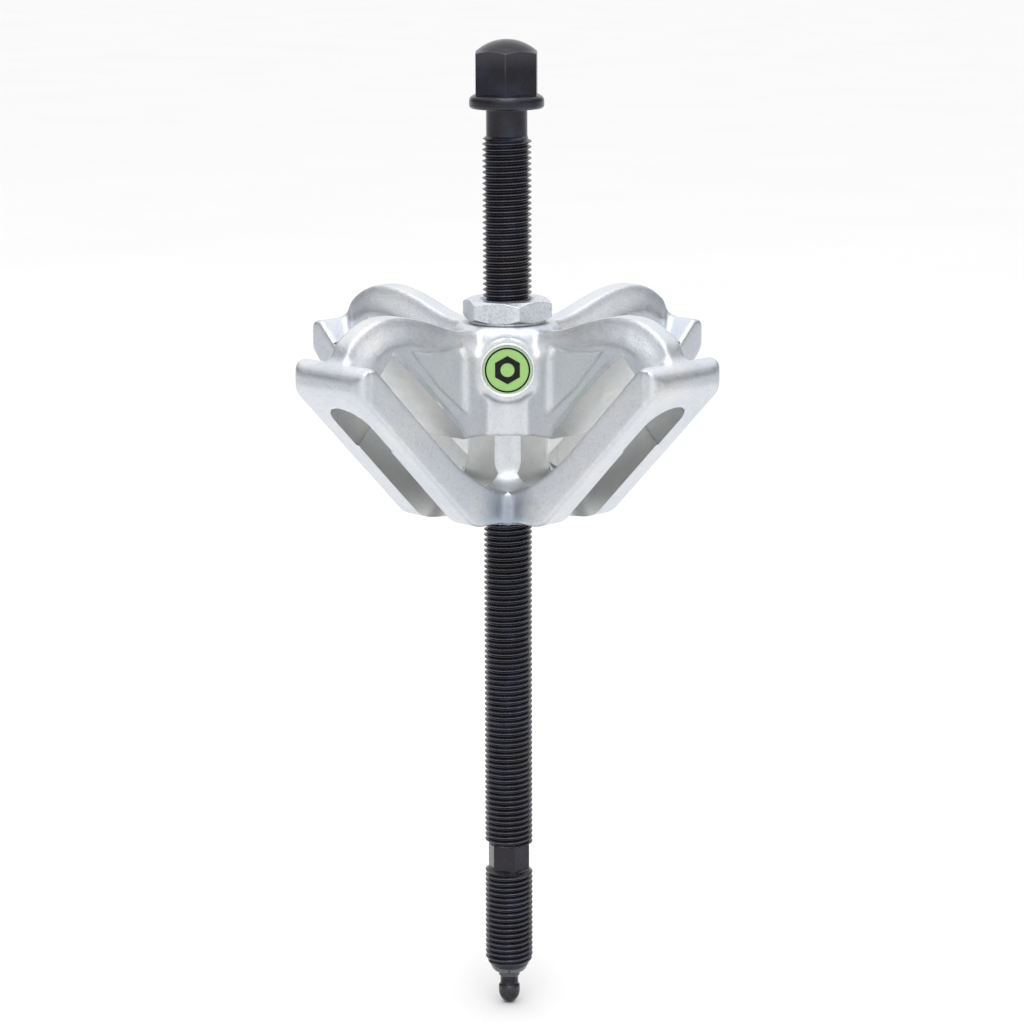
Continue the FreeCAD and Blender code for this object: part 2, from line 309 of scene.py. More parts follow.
def arm_field(a, p, z):
    """One arm's slab and web, from reach a, sideways distance p and height z."""
    rail = rounded_meet(area_distance(rail_outline(), a, z), p - ARM_WIDTH / 2, EDGE_R)
    corner_a = np.maximum(a - (ARM_REACH - TIP_CORNER_R), 0)
    corner_p = np.maximum(p - (ARM_WIDTH / 2 - TIP_CORNER_R), 0)
    plan = np.hypot(corner_a, corner_p) - TIP_CORNER_R
    rail = smooth_max(rail, np.where((corner_a > 0) & (corner_p > 0), plan, -5.0), 1.5)
    web2d = area_distance(web_outline(), a, z)
    web = smooth_max(web2d, (p - web_half_width(a, z)) * 0.92, 1.3)
    return rail, web


def skin_wave(x, y, z, rng):
    """Slow unevenness of a forged skin."""
    wave = 0
    for _ in range(3):
        turns = [rng.uniform(*SKIN_GRAIN) * rng.choice((-1, 1)) for _ in range(3)]
        phases = rng.uniform(0, 2 * math.pi, 3)
        wave = wave + (np.sin(x / turns[0] + phases[0]) * np.sin(y / turns[1] + phases[1])
                       * np.sin(z / turns[2] + phases[2]))
    return wave * SKIN_WAVE


def forging_field():
    """Signed distance of the whole crossbeam forging, before it is machined."""
    reach = np.arange(0, round(GRID_REACH / VOXEL) + 1) * VOXEL
    height = np.arange(round(GRID_LOW / VOXEL), round(GRID_HIGH / VOXEL) + 1) * VOXEL
    x, y, z = reach[:, None, None], reach[None, :, None], height[None, None, :]
    rail, web = arm_field(x, y, z)
    arm = smooth_min(rail, web, WEB_BLEND)
    beam = smooth_min(arm, arm.transpose(1, 0, 2), ARM_BLEND)
    r = np.hypot(x, y)
    column = smooth_max(r - COLUMN_R, np.maximum(-z, z - HUB_BOTTOM - 4), 0.5)
    slabs = smooth_min(rail, rail.transpose(1, 0, 2), ARM_BLEND)
    beam = np.minimum(beam, smooth_min(slabs, column, COLUMN_BLEND))
    hub = rounded_meet(r - HUB_R, z - HUB_TOP - HUB_ROUGH, HUB_SHOULDER_R)
    beam = smooth_min(beam, smooth_max(hub, HUB_BOTTOM - z, 0.6), HUB_BLEND)
    seam = np.clip(1 - ((x - y) / SEAM_HALF / math.sqrt(2)) ** 2, 0, 1)
    seam = seam * smooth_step((r - SEAM_START) / SEAM_FADE)
    seam = seam * smooth_step((PLATE + SEAM_FADE - z) / SEAM_FADE)
    beam = beam - seam * SEAM_HEIGHT * (0.75 + 0.25 * np.sin(z * 1.9))
    beam = np.concatenate([beam[:0:-1], beam], axis=0)
    beam = np.concatenate([beam[:, :0:-1], beam], axis=1)
    full = np.concatenate([-reach[:0:-1], reach])
    x, y = full[:, None, None], full[None, :, None]
    turn = math.radians(BOSS_TURN)
    out = x * math.cos(turn) + y * math.sin(turn)
    across = y * math.cos(turn) - x * math.sin(turn)
    boss = rounded_meet(np.hypot(across, z - BOSS_HEIGHT) - BOSS_R, out - BOSS_FACE, BOSS_EDGE_R)
    beam = smooth_min(beam, np.maximum(boss, -out), BOSS_BLEND)
    beam = beam + skin_wave(x, y, z, np.random.default_rng(SKIN_SEED))
    # The wave must not carry the tips past the arm's reach.
    beam = np.maximum(beam, np.maximum(np.abs(x), np.abs(y)) - ARM_REACH + TIP_MARGIN)
    return beam, (full[0], full[0], height[0])


def mesh_from_field(name, field, origin):
    """Closed mesh of the field's zero surface, in metres."""
    grid = openvdb.FloatGrid(background=FIELD_LIMIT)
    grid.copyFromArray(np.clip(field, -FIELD_LIMIT, FIELD_LIMIT).astype(np.float32))
    points, quads = grid.convertToQuads()
    points = (points * VOXEL + np.array(origin) + np.array((0, 0, BEAM_Z))) * MM
    mesh = bpy.data.meshes.new(name)
    mesh.from_pydata(points.tolist(), [], quads[:, ::-1].tolist())
    return link(name, mesh)


# ---------------------------------------------------------------- mesh helpers

def link(name, data):
    """Object in the scene that shows a mesh, a light or a camera."""
    obj = bpy.data.objects.new(name, data)
    bpy.context.scene.collection.objects.link(obj)
    return obj


def from_bmesh(name, bm):
    """Object made from a bmesh, which is used up. Vertices in one place are joined."""
    bmesh.ops.remove_doubles(bm, verts=bm.verts, dist=WELD)
    bmesh.ops.recalc_face_normals(bm, faces=bm.faces)
    mesh = bpy.data.meshes.new(name)
    bm.to_mesh(mesh)
    bm.free()
    return link(name, mesh)


def prism(name, outline, low, high, place):
    """Closed prism of an outline, drawn at two levels by place(x, y, level) -> mm."""
    bm = bmesh.new()
    rings = [[bm.verts.new(Vector(place(x, y, level)) * MM) for x, y in outline]
             for level in (low, high)]
    count = len(outline)
    for i in range(count):
        j = (i + 1) % count
        bm.faces.new((rings[0][i], rings[0][j], rings[1][j], rings[1][i]))
    bm.faces.new(rings[0][::-1])
    bm.faces.new(rings[1])
    return from_bmesh(name, bm)


def lathe(name, outline, steps=64):
    """Solid of revolution about Z from (radius, height) points in mm, poles included."""
    bm = bmesh.new()
    rings = []
    for radius, z in outline:
        if radius < 1e-6:
            rings.append([bm.verts.new((0, 0, z * MM))])
        else:
            rings.append([bm.verts.new((radius * MM * math.cos(2 * math.pi * i / steps),
                                        radius * MM * math.sin(2 * math.pi * i / steps), z * MM))
                          for i in range(steps)])
    for low, high in zip(rings, rings[1:]):
        for i in range(steps):
            j = (i + 1) % steps
            corners = (low[i % len(low)], low[j % len(low)],
                       high[j % len(high)], high[i % len(high)])
            unique = list(dict.fromkeys(corners))
            if len(unique) > 2:
                bm.faces.new(unique)
    return from_bmesh(name, bm)


def hexagon_outline(across_flats, turn=0.0, easing=0.0):
    """Hexagon with a flat towards +X before it is turned; its corners are eased to a radius."""
    reach = (across_flats - 2 * easing) / math.sqrt(3)
    outline = []
    for corner in range(30, 390, 60):
        angle = math.radians(corner + turn)
        centre = (reach * math.cos(angle), reach * math.sin(angle))
        if easing:
            outline += arc(centre, easing, corner + turn - 30, corner + turn + 30, 3)
        else:
            outline += [centre]
    return outline


def circle_outline(radius, steps=64):
    return arc((0, 0), radius, 0, 360, steps)[:-1]


def upright(x, y, level):
    return x, y, level


def combine(obj, others, operation):
    """Boolean of obj with each of the others, which are used up. Cut faces take their material."""
    for other in others:
        modifier = obj.modifiers.new(other.name, "BOOLEAN")
        modifier.operation = operation
        modifier.solver = "MANIFOLD"
        modifier.material_mode = "TRANSFER"
        modifier.object = other
    depsgraph = bpy.context.evaluated_depsgraph_get()
    mesh = bpy.data.meshes.new_from_object(obj.evaluated_get(depsgraph))
    obj.modifiers.clear()
    obj.data = mesh
    for other in others:
        bpy.data.objects.remove(other)
    return obj


def finish_mesh(obj, crease=30.0):
    """Shades the first material's faces smooth, with sharp creases and sharp borders.

    The faces of any other material, left by cutters, are split into triangles and shaded flat.
    """
    mesh = obj.data
    bm = bmesh.new()
    bm.from_mesh(mesh)
    bmesh.ops.triangulate(bm, faces=[face for face in bm.faces if face.material_index])
    bm.to_mesh(mesh)
    bm.free()
    mesh.shade_smooth()
    mesh.set_sharp_from_angle(angle=math.radians(crease))
    bm = bmesh.new()
    bm.from_mesh(mesh)
    for face in bm.faces:
        face.smooth = face.material_index == 0
    for edge in bm.edges:
        if len({face.material_index for face in edge.link_faces}) > 1:
            edge.smooth = False
    bm.to_mesh(mesh)
    bm.free()
    return obj


# ---------------------------------------------------------------- crossbeam

def rotated(place, quarter):
    """The same placing function, turned by a number of quarter turns about Z."""
    c, s = ((1, 0), (0, 1), (-1, 0), (0, -1))[quarter]

    def turned(x, y, level):
        px, py, pz = place(x, y, level)
        return px * c - py * s, px * s + py * c, pz
    return turned


def arm_cutters(quarter):
    """The milled channel, the keyhole slot and the column's flat of one arm."""
    def side(a, z, p):
        return a, p, BEAM_Z + z

    def square_to_slope(u, p, n):
        a, z = slope(u, n)
        return a, p, BEAM_Z + z

    ceiling = SLAB + CHANNEL
    channel = [slope(CHANNEL_END, SLAB)] + inner_face(SLAB)
    start = CURVE_END - 0.05
    channel += [(start, PLATE + MILLING + 0.3), (start, HUB_BOTTOM),
                (HUB_BOTTOM + SLOPE_START - ceiling / COS, HUB_BOTTOM), slope(CHANNEL_END, ceiling)]
    half, key, sweep = SLOT_WIDTH / 2, KEY_WIDTH / 2, ARM_WIDTH / 2 + CHANNEL_OVERCUT
    upright_side, slope_face = rotated(side, quarter), rotated(square_to_slope, quarter)
    cutters = [prism(f"channel_{quarter}", channel, -sweep, sweep, upright_side)]
    slot_end = SLOT_START + half
    slot = arc((slot_end, 0), half, 90, 270, 48) + [(KEY_START + 5, -half), (KEY_START + 5, half)]
    cutters.append(prism(f"slot_{quarter}", slot, -20, SLAB + 7, slope_face))
    keyhole = arc((CHANNEL_END - key, 0), key, -90, 90, 48) + [(KEY_START, key), (KEY_START, -key)]
    cutters.append(prism(f"keyhole_{quarter}", keyhole, -20, SLAB + 3, slope_face))
    foot_z = SLOPE_START - COLUMN_FLAT - FLAT_FOOT_R * (2 - 1 / COS)
    foot = arc((COLUMN_FLAT + FLAT_FOOT_R, foot_z), FLAT_FOOT_R, 180, 225, 16)
    flat = [(COLUMN_FLAT, HUB_BOTTOM)] + foot
    flat += [(SLOPE_START, foot[-1][1]), (SLOPE_START, HUB_BOTTOM)]
    wide = half + FLAT_OVERCUT
    cutters.append(prism(f"flat_{quarter}", flat, -wide, wide, upright_side))
    return cutters


def towards_badge(x, y, level):
    """Place x across, y up and level outwards on the axis of the badge."""
    c, s = math.cos(math.radians(BOSS_TURN)), math.sin(math.radians(BOSS_TURN))
    return level * c - x * s, level * s + x * c, BEAM_Z + BOSS_HEIGHT + y


def crossbeam():
    field, origin = forging_field()
    beam = mesh_from_field("crossbeam_forging", field, origin)
    beam.data.materials.append(materials["forged"])
    cutters = [cutter for quarter in range(4) for cutter in arm_cutters(quarter)]
    step, top = BEAM_Z + BUSH_BOTTOM, BEAM_Z + HUB_TOP
    for name, outline, low, high, place in (
            ("lower_bore", circle_outline(BORE_R), BEAM_Z - 3, step + 1, upright),
            ("upper_bore", circle_outline(BUSH_BARREL_R), step, top + 5, upright),
            ("hub_face", circle_outline(HUB_FACE_R), top - HUB_FACING, top + 5, upright),
            ("badge_seat", circle_outline(BADGE_R + 0.1), BOSS_FACE - BADGE_SINK, BOSS_FACE + 4,
             towards_badge),
            ("screw_hole", circle_outline(SCREW_R, 24), BUSH_BARREL_R - 1, BOSS_FACE,
             towards_badge)):
        cutters.append(prism(name, outline, low, high, place))
    for cutter in cutters:
        cutter.data.materials.append(materials["milled"])
    combine(beam, cutters, "DIFFERENCE")
    finish_mesh(beam, 32)
    return beam


# ---------------------------------------------------------------- spindle

def thread(name, low, high, low_chamfer, high_chamfer):
    """Right-handed thread between two heights; each chamfer is (radius at the end, its slant)."""
    flank = (THREAD_R - ROOT_R) * math.tan(math.radians(30))
    crest = PITCH / 8
    root = PITCH - 2 * flank - crest
    profile = [(0.0, ROOT_R), (root, ROOT_R), (root + flank * 0.93, THREAD_R - 0.07),
               (root + flank + 0.03, THREAD_R), (root + flank + crest - 0.03, THREAD_R),
               (root + flank * 1.07 + crest, THREAD_R - 0.07)]
    count = len(profile)
    turns = math.ceil((high - low) / PITCH) + 2
    start = low - PITCH
    bm = bmesh.new()
    columns = []
    for i in range(THREAD_STEPS):
        angle = 2 * math.pi * i / THREAD_STEPS
        across, along = math.cos(angle), math.sin(angle)
        column = []
        for s in range(turns * count):
            offset, radius = profile[s % count]
            z = start + PITCH * (s // count + i / THREAD_STEPS) + offset
            z = min(max(z, low), high)
            radius = min(radius, low_chamfer[0] + (z - low) * low_chamfer[1],
                         high_chamfer[0] + (high - z) * high_chamfer[1])
            column.append(bm.verts.new((radius * MM * across, radius * MM * along, z * MM)))
        columns.append(column)
    for i, column in enumerate(columns):
        following = columns[(i + 1) % THREAD_STEPS]
        shift = count if i == THREAD_STEPS - 1 else 0
        for s in range(len(column) - 1):
            if s + 1 + shift < len(following):
                bm.faces.new((column[s], following[s + shift],
                              following[s + 1 + shift], column[s + 1]))
    bmesh.ops.remove_doubles(bm, verts=bm.verts, dist=WELD)
    bmesh.ops.dissolve_degenerate(bm, edges=bm.edges, dist=WELD)
    ends = [edge for edge in bm.edges if edge.is_boundary]
    bmesh.ops.holes_fill(bm, edges=ends, sides=0)
    return from_bmesh(name, bm)


def spindle():
    dome_base = SPINDLE_LENGTH - DOME_HEIGHT
    sphere_r = (DOME_R ** 2 + DOME_HEIGHT ** 2) / (2 * DOME_HEIGHT)
    lean = math.degrees(math.asin(DOME_R / sphere_r))
    dome = arc((0, SPINDLE_LENGTH - sphere_r), sphere_r, 90 - lean, 90, 10)
    head = [(0, FLANGE_Z), (FLANGE_R - 1.0, FLANGE_Z)]
    head += arc((FLANGE_R - 1.5, FLANGE_Z + 1.5), 1.5, -60, 0, 5)
    head += arc((FLANGE_R - 2.6, FLANGE_Z + 3.4), 2.6, 0, 68, 7)
    head += [(FLANGE_R - 2.9, HEAD_HEX_Z), (0, HEAD_HEX_Z)]
    body = lathe("spindle_flange", head, 96)
    corner = HEAD_AF / math.sqrt(3) + 0.3
    turning = [(0, HEAD_HEX_Z - 1), (corner, HEAD_HEX_Z - 1),
               (corner, dome_base - HEAD_CORNER_DROP)] + dome[:-1] + [(0, SPINDLE_LENGTH)]
    hexagon = prism("head_hexagon", hexagon_outline(HEAD_AF, HEAD_TURN, 0.8), HEAD_HEX_Z - 1,
                    SPINDLE_LENGTH + 1, upright)
    hexagon = combine(hexagon, [lathe("head_turning", turning, 96)], "INTERSECT")
    neck = [(0, NECK_Z - 2), (NECK_R, NECK_Z - 2), (NECK_R, FLANGE_Z - 1.2)]
    neck += arc((NECK_R + 1.2, FLANGE_Z - 1.2), 1.2, 180, 90, 4)
    neck += [(NECK_R + 1.2, FLANGE_Z + 1), (0, FLANGE_Z + 1)]
    hex_low, hex_high = SERVICE_HEX_Z
    service_r = SERVICE_AF / 2
    service = prism("service_hexagon", hexagon_outline(SERVICE_AF, 0, HEX_EASING), hex_low - 3,
                    hex_high + 3, upright)
    end = [(0, END_FACE_Z), (7.2, END_FACE_Z), (8.0, END_FACE_Z + 0.8), (8.6, END_FACE_Z + 2.2),
           (9.0, THREAD_BOTTOM_Z + 2), (0, THREAD_BOTTOM_Z + 2)]
    run_out = (service_r - 0.6, 1 / math.tan(math.radians(30)))
    upper = thread("spindle_thread", hex_high - 1.0, NECK_Z + 0.5, run_out, (NECK_R + 0.1, 1.2))
    lower = thread("lower_thread", END_FACE_Z + 1.2, hex_low + 1.7, (8.0, 0.6), run_out)
    combine(body, [hexagon, lathe("neck", neck), upper, service, lower, lathe("end", end)], "UNION")
    body.name = "forcing_spindle"
    finish_mesh(body, 34)
    body.data.materials.clear()
    body.data.materials.append(materials["black_oxide"])
    return body


# ---------------------------------------------------------------- small pieces

def bush():
    seat, low = BEAM_Z + HUB_TOP - HUB_FACING, BEAM_Z + HUB_TOP + BUSH_LIFT
    bottom, high = BEAM_Z + BUSH_BOTTOM, BEAM_Z + BUSH_TOP
    half, barrel_r = BUSH_AF / 2, BUSH_BARREL_R - BUSH_CLEARANCE
    corner = BUSH_AF / math.sqrt(3) + 0.5
    rise = math.tan(math.radians(CHAMFER_ANGLE))
    low_r, high_r = half - 0.3, half - 0.5
    turning = [(0, low), (low_r, low), (corner, low + (corner - low_r) * rise),
               (corner, high - (corner - high_r) * rise), (high_r, high), (0, high)]
    head = prism("bush_hexagon", hexagon_outline(BUSH_AF, 0, HEX_EASING), low - 1, high + 1,
                 upright)
    combine(head, [lathe("bush_turning", turning, 96)], "INTERSECT")
    barrel = [(0, bottom), (BUSH_BARREL_R - 1, bottom), (barrel_r, bottom + 1), (barrel_r, seat),
              (half - 0.9, seat), (half - 0.6, seat + 0.3), (half - 0.6, low + 0.5),
              (0, low + 0.5)]
    combine(head, [lathe("bush_barrel", barrel)], "UNION")
    bore_r = THREAD_R + THREAD_CLEARANCE
    bore = [(0, BEAM_Z), (bore_r, BEAM_Z), (bore_r, high - 1.4), (bore_r + 2.4, high + 1),
            (0, high + 1)]
    combine(head, [lathe("bush_bore", bore)], "DIFFERENCE")
    bevel = head.modifiers.new("edges", "BEVEL")
    bevel.width = 0.35 * MM
    bevel.segments = 2
    bevel.limit_method = "ANGLE"
    bevel.angle_limit = math.radians(25)
    head.name = "threaded_bush_hexagon"
    finish_mesh(head, 30)
    head.data.materials.clear()
    head.data.materials.append(materials["speckled"])
    return head


def badge():
    """Enamelled disc with a ring, a pale margin, a metal rim and a plain hexagon-nut symbol."""
    floor = BOSS_FACE - BADGE_SINK
    face = floor + 1.1

    def disc(name, outline, material):
        piece = lathe(name, outline, 72)
        place = Matrix.Translation((0, 0, (BEAM_Z + BOSS_HEIGHT) * MM)) @ Matrix.Rotation(
            math.radians(BOSS_TURN), 4, "Z") @ Matrix.Rotation(math.radians(90), 4, "Y")
        piece.data.transform(place)
        piece.data.materials.append(materials[material])
        return finish_mesh(piece)

    def band(name, radii, high, material):
        inner, outer = radii
        return disc(name, [(inner, face), (outer, face), (outer, high), (inner, high),
                           (inner, face)], material)

    def nut_symbol(name, high):
        piece = prism(name, hexagon_outline(11.0), face, high, towards_badge)
        hole = prism(name + "_hole", circle_outline(3.1, 40), face - 1, high + 1, towards_badge)
        combine(piece, [hole], "DIFFERENCE")
        piece.data.materials.clear()
        piece.data.materials.append(materials["enamel_black"])
        return finish_mesh(piece)

    field = [(0, floor), (BADGE_R, floor), (BADGE_R, floor + 0.95), (BADGE_R - 0.3, floor + 1.2),
             (0, floor + 1.2)]
    rim = [(11.0, floor + 0.9), (11.5, floor + 0.9), (11.5, floor + 1.5), (12.1, floor + 1.5),
           (11.9, floor + 1.85), (11.4, floor + 1.85), (11.0, floor + 1.4), (11.0, floor + 0.9)]
    return [disc("badge_field", field, "enamel_green"),
            band("badge_ring", BADGE_RING, floor + 1.35, "enamel_black"),
            band("badge_margin", BADGE_MARGIN, floor + 1.3, "enamel_pale"),
            disc("badge_rim", rim, "bright"),
            nut_symbol("badge_nut_symbol", floor + 1.3)]


def tip():
    angles = np.linspace(0, math.pi / 2, 12)
    outline = [(TIP_R * math.sin(t), 6 * (1 - math.cos(t))) for t in angles]
    outline += [(TIP_R, 8.5), (4.7, 8.9), (4.3, 9.2), (TIP_NECK_R, 9.6), (TIP_NECK_R, 13.0),
                (4.4, 13.4), (TIP_R, 13.8), (TIP_R, 15.9), (TIP_SHANK_R, 15.9),
                (TIP_SHANK_R, 27.9), (0, 27.9)]
    piece = lathe("pressure_tip_turned", outline)
    piece.data.materials.append(materials["tip"])
    return finish_mesh(piece, 40)


# ---------------------------------------------------------------- materials

class Look:
    """Builds a node material step by step."""

    def __init__(self, name, color, metallic, roughness):
        self.material = bpy.data.materials.new(name)
        self.material.use_nodes = True
        self.tree = self.material.node_tree
        self.shader = self.tree.nodes["Principled BSDF"]
        self.shader.inputs["Metallic"].default_value = metallic
        self.place = self.node("ShaderNodeTexCoord").outputs["Object"]
        self.color = self.constant(color)
        self.roughness = roughness
        self.normal = None

    def node(self, kind, **settings):
        made = self.tree.nodes.new(kind)
        for key, value in settings.items():
            setattr(made, key, value)
        return made

    def join(self, source, target):
        self.tree.links.new(source, target)

    def constant(self, color):
        made = self.node("ShaderNodeRGB")
        made.outputs[0].default_value = (*color, 1)
        return made.outputs[0]

    def noise(self, size_mm, detail=3.0, roughness=0.5, stretch=(1, 1, 1)):
        """Noise between about 0 and 1, whose grains are about size_mm across."""
        scaling = self.node("ShaderNodeMapping")
        scaling.inputs["Scale"].default_value = stretch
        self.join(self.place, scaling.inputs["Vector"])
        made = self.node("ShaderNodeTexNoise")
        made.inputs["Scale"].default_value = 1 / (size_mm * MM)
        made.inputs["Detail"].default_value = detail
        made.inputs["Roughness"].default_value = roughness
        self.join(scaling.outputs[0], made.inputs["Vector"])
        return made.outputs["Fac"]

    def ramp(self, value, low, high, from_value=0.0, to_value=1.0):
        made = self.node("ShaderNodeMapRange")
        for key, number in (("From Min", low), ("From Max", high),
                            ("To Min", from_value), ("To Max", to_value)):
            made.inputs[key].default_value = number
        self.join(value, made.inputs["Value"])
        return made.outputs["Result"]

    def tint(self, color, amount, scale=1.0):
        """Mix a colour over what is there by a 0 to 1 amount."""
        mix = self.node("ShaderNodeMix", data_type="RGBA")
        if scale != 1.0:
            amount = self.ramp(amount, 0, 1, 0, scale)
        self.join(amount, mix.inputs["Factor"])
        self.join(self.color, mix.inputs["A"])
        mix.inputs["B"].default_value = (*color, 1)
        self.color = mix.outputs["Result"]

    def vary_roughness(self, amount, low, high):
        self.roughness = self.ramp(amount, 0.25, 0.75, low, high)

    def bump(self, height, depth_mm, strength=1.0):
        made = self.node("ShaderNodeBump")
        made.inputs["Strength"].default_value = strength
        made.inputs["Distance"].default_value = depth_mm * MM
        self.join(height, made.inputs["Height"])
        if self.normal is not None:
            self.join(self.normal, made.inputs["Normal"])
        self.normal = made.outputs["Normal"]

    def pointiness(self, low, high):
        geometry = self.node("ShaderNodeNewGeometry")
        return self.ramp(geometry.outputs["Pointiness"], low, high)

    def edge_wear_and_highlight(self):
        """Rises from 0 to 1 on convex edges, for edge wear together with a painted highlight."""
        return self.pointiness(0.51, 0.6)

    def creases(self):
        """Rises from 0 to 1 in concave corners, where shade is painted."""
        return self.pointiness(0.485, 0.42)

    def painted_valley_shade(self, size_mm):
        """Rises from 0 to 1 low down in the four corners between the arms, where shade is painted.
        """
        folded = self.node("ShaderNodeVectorMath", operation="ABSOLUTE")
        self.join(self.place, folded.inputs[0])
        away = self.node("ShaderNodeVectorMath", operation="DISTANCE")
        self.join(folded.outputs["Vector"], away.inputs[0])
        corner = ARM_WIDTH / 2 + 4
        away.inputs[1].default_value = (corner * MM, corner * MM, (BEAM_Z + 3) * MM)
        return self.ramp(away.outputs["Value"], size_mm * MM, 0.3 * size_mm * MM)

    def finish(self):
        self.join(self.color, self.shader.inputs["Base Color"])
        if isinstance(self.roughness, float):
            self.shader.inputs["Roughness"].default_value = self.roughness
        else:
            self.join(self.roughness, self.shader.inputs["Roughness"])
        if self.normal is not None:
            self.join(self.normal, self.shader.inputs["Normal"])
        return self.material


def forged_zinc():
    look = Look("forged_zinc", (0.66, 0.675, 0.70), 0.95, 0.44)
    # Painted shade: dark blue-grey low down in the corners between the arms.
    look.tint((0.24, 0.29, 0.36), look.painted_valley_shade(19), 0.8)
    look.tint((0.54, 0.59, 0.67), look.ramp(look.noise(36, 2), 0.42, 0.66), 0.55)
    look.tint((0.74, 0.72, 0.67), look.ramp(look.noise(25, 3), 0.52, 0.72), 0.45)
    look.tint((0.42, 0.45, 0.50), look.ramp(look.noise(1.3, 3, 0.7), 0.50, 0.72), 0.42)
    # Painted shade: darker grey in the concave corners.
    look.tint((0.30, 0.31, 0.33), look.creases(), 0.55)
    # Edge wear and painted highlight: lighter on the convex edges.
    look.tint((0.90, 0.91, 0.92), look.edge_wear_and_highlight(), 0.5)
    look.vary_roughness(look.noise(3.5, 5, 0.6), 0.36, 0.52)
    look.bump(look.noise(5.0, 3, 0.5), 0.35, 0.5)
    look.bump(look.noise(0.8, 4, 0.65), 0.20, 0.7)
    return look.finish()


def milled_zinc():
    look = Look("milled_zinc", (0.57, 0.575, 0.575), 0.9, 0.40)
    look.tint((0.50, 0.545, 0.555), look.ramp(look.noise(13, 3), 0.45, 0.65), 0.5)
    look.tint((0.68, 0.655, 0.61), look.ramp(look.noise(8, 3), 0.5, 0.7), 0.45)
    look.tint((0.36, 0.34, 0.32), look.ramp(look.noise(1.6, 4, 0.7), 0.56, 0.74), 0.4)
    look.vary_roughness(look.noise(2.5, 4, 0.6), 0.28, 0.46)
    look.bump(look.noise(0.8, 3, 0.6, stretch=(1, 1, 0.25)), 0.10, 0.5)
    return look.finish()


def speckled_zinc():
    look = Look("speckled_zinc", (0.64, 0.665, 0.70), 0.9, 0.38)
    look.tint((0.34, 0.39, 0.49), look.ramp(look.noise(1.1, 3, 0.7), 0.47, 0.64), 0.7)
    # Edge wear and painted highlight: near-white on the hexagon's convex edges.
    look.tint((0.92, 0.93, 0.94), look.edge_wear_and_highlight(), 0.8)
    look.vary_roughness(look.noise(1.6, 4, 0.6), 0.26, 0.48)
    look.bump(look.noise(1.0, 3, 0.6), 0.12, 0.6)
    return look.finish()


def bright_rim():
    look = Look("bright_rim", (0.88, 0.88, 0.87), 0.9, 0.3)
    look.tint((0.70, 0.71, 0.72), look.ramp(look.noise(1.5, 3), 0.5, 0.7), 0.5)
    look.vary_roughness(look.noise(1.2, 3), 0.22, 0.38)
    look.bump(look.noise(0.8, 3, 0.6), 0.04, 0.3)
    return look.finish()


def black_oxide():
    look = Look("black_oxide", (0.015, 0.015, 0.022), 0.55, 0.26)
    look.tint((0.030, 0.034, 0.056), look.ramp(look.noise(9, 3), 0.45, 0.7), 0.7)
    look.tint((0.026, 0.018, 0.016), look.ramp(look.noise(14, 2), 0.50, 0.7), 0.6)
    # Edge wear and painted highlight: grey on the convex edges and thread crests.
    look.tint((0.26, 0.26, 0.28), look.edge_wear_and_highlight(), 0.45)
    look.vary_roughness(look.noise(2.0, 4, 0.6), 0.18, 0.34)
    look.bump(look.noise(0.7, 3, 0.6), 0.04, 0.3)
    return look.finish()


def hard_steel():
    look = Look("hard_steel", (0.020, 0.020, 0.024), 0.7, 0.2)
    look.tint((0.07, 0.07, 0.08), look.ramp(look.noise(2.0, 3), 0.5, 0.7), 0.6)
    # Edge wear and painted highlight: grey on the convex edges.
    look.tint((0.30, 0.30, 0.32), look.edge_wear_and_highlight(), 0.4)
    look.vary_roughness(look.noise(1.5, 4, 0.6), 0.14, 0.28)
    look.bump(look.noise(0.6, 3, 0.6, stretch=(1, 1, 6)), 0.03, 0.3)
    return look.finish()


def enamel(name, color, dark):
    look = Look(name, color, 0.0, 0.35)
    look.shader.inputs["Specular IOR Level"].default_value = 0.2
    look.tint(dark, look.ramp(look.noise(3.0, 3), 0.45, 0.7), 0.4)
    look.vary_roughness(look.noise(2.0, 3), 0.28, 0.45)
    look.bump(look.noise(1.2, 3, 0.6), 0.04, 0.3)
    return look.finish()


def plain(name, color, roughness):
    look = Look(name, color, 0.0, roughness)
    look.tint([c * 0.97 for c in color], look.ramp(look.noise(300, 2), 0.4, 0.7), 0.5)
    return look.finish()


# ---------------------------------------------------------------- the scene

def softbox(name, place, size, power):
    """Square area light of a size in metres and a power in watts, aimed at the object."""
    light = bpy.data.lights.new(name, "AREA")
    light.shape = "RECTANGLE"
    light.size = light.size_y = size
    light.energy = power
    obj = link(name, light)
    obj.location = place
    obj.rotation_euler = (Vector(LIGHT_AIM) - Vector(place)).to_track_quat("-Z", "Y").to_euler()


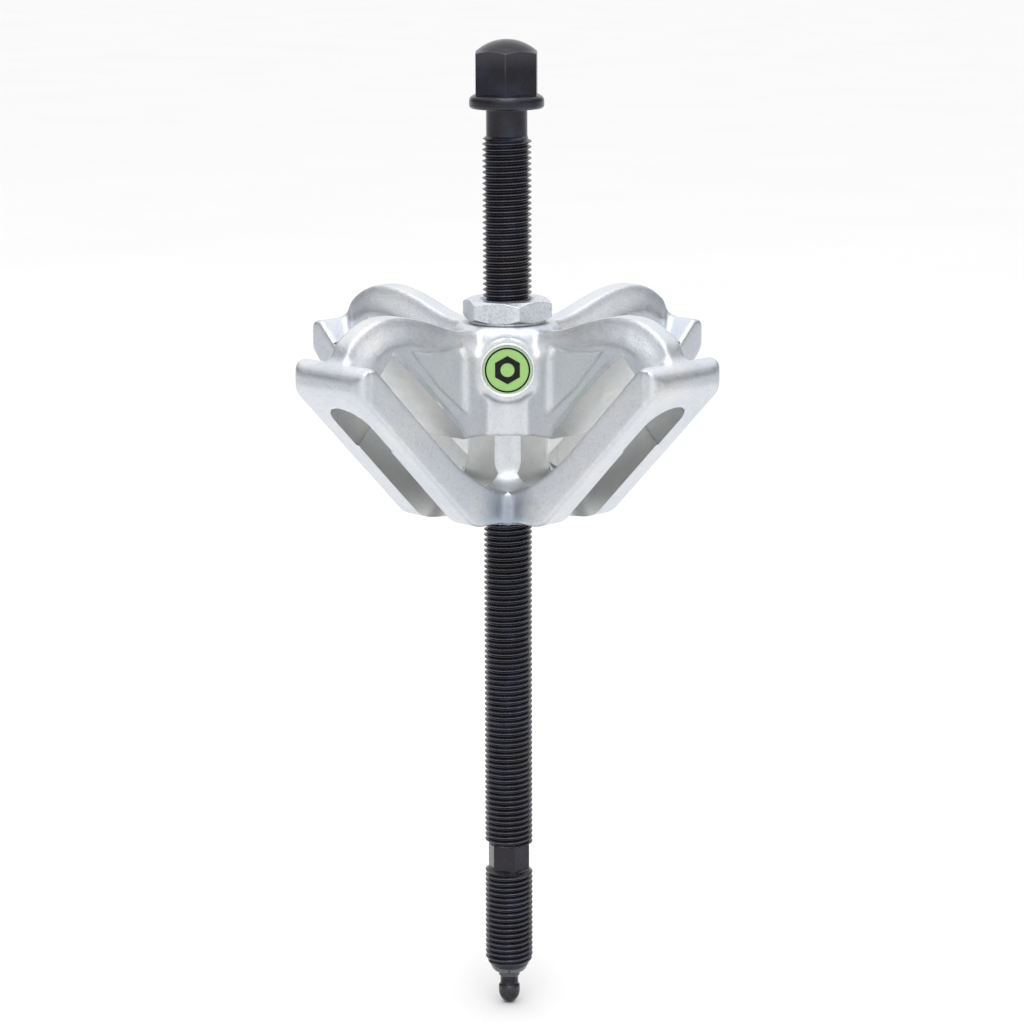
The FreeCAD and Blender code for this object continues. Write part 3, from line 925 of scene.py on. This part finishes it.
def studio():
    """Paper floor, a sky darker to the camera's left and right than ahead or behind, and lights."""
    floor = prism("floor", arc((0, 0), 14000, 0, 360, 64)[:-1], -20, 0, upright)
    floor.data.materials.append(plain("floor_paper", (0.87, 0.87, 0.87), 0.9))
    world = bpy.data.worlds.new("studio")
    bpy.context.scene.world = world
    world.use_nodes = True
    nodes, links = world.node_tree.nodes, world.node_tree.links

    def ramp(value, low, high, first, last):
        made = nodes.new("ShaderNodeMapRange")
        made.interpolation_type = "SMOOTHSTEP"
        for key, number in (("From Min", low), ("From Max", high)):
            made.inputs[key].default_value = number
        for key, source in (("Value", value), ("To Min", first), ("To Max", last)):
            if isinstance(source, float):
                made.inputs[key].default_value = source
            else:
                links.new(source, made.inputs[key])
        return made.outputs["Result"]

    place = nodes.new("ShaderNodeTexCoord").outputs["Generated"]
    sideways = nodes.new("ShaderNodeVectorMath")
    sideways.operation = "DOT_PRODUCT"
    sideways.inputs[1].default_value = (SIN, SIN, 0)
    links.new(place, sideways.inputs[0])
    squared = nodes.new("ShaderNodeMath")
    squared.operation = "MULTIPLY"
    for target in (0, 1):
        links.new(sideways.outputs["Value"], squared.inputs[target])
    split = nodes.new("ShaderNodeSeparateXYZ")
    links.new(place, split.inputs[0])
    horizon = ramp(squared.outputs[0], 0.10, 0.60, BRIGHT_HORIZON, DARK_HORIZON)
    sky = ramp(split.outputs["Z"], 0.2, 0.9, horizon, BRIGHT_SKY)
    links.new(sky, nodes["Background"].inputs[0])
    softbox("front", (1.0, -1.0, 1.9), 1.1, 9)
    softbox("overhead", (0.15, -0.15, 2.1), 1.0, 11)


def camera():
    """Looks along the diagonal between two arms, from a little above."""
    data = bpy.data.cameras.new("camera")
    obj = link("camera", data)
    data.sensor_width = 36
    data.lens = LENS
    data.shift_x = LENS_SHIFT
    data.clip_start, data.clip_end = 0.05, 60
    azimuth, elevation = math.radians(AZIMUTH), math.radians(ELEVATION)
    level = math.cos(elevation)
    back = Vector((math.sin(azimuth) * level, -math.cos(azimuth) * level, math.sin(elevation)))
    obj.location = Vector(TARGET) + back * DISTANCE
    roll = Matrix.Rotation(math.radians(ROLL), 3, "Z")
    obj.rotation_euler = ((-back).to_track_quat("-Z", "Y").to_matrix() @ roll).to_euler()
    bpy.context.scene.camera = obj


materials = {
    "forged": forged_zinc(),
    "milled": milled_zinc(),
    "speckled": speckled_zinc(),
    "black_oxide": black_oxide(),
    "tip": hard_steel(),
    "bright": bright_rim(),
    "enamel_green": enamel("enamel_green", (0.33, 0.56, 0.19), (0.26, 0.48, 0.16)),
    "enamel_pale": enamel("enamel_pale", (0.40, 0.52, 0.36), (0.32, 0.44, 0.30)),
    "enamel_black": enamel("enamel_black", (0.004, 0.007, 0.004), (0.008, 0.010, 0.008)),
}


def place_piece(piece, body, node):
    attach(piece, body)
    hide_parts(node)


bpy.context.scene.view_settings.view_transform = "Standard"
camera()
studio()
place_piece(crossbeam(), "beam", "crossbeam")
place_piece(bush(), "beam", "threaded_bush")
for part in badge():
    place_piece(part, "beam", "badge_disc")
place_piece(spindle(), "spindle", "spindle")
place_piece(tip(), "point", "pressure_tip")
for node in ("bush_lock_screw", "thrust_ball", "tip_retaining_ring"):
    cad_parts[node].data.materials.clear()
    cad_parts[node].data.materials.append(materials["tip"])
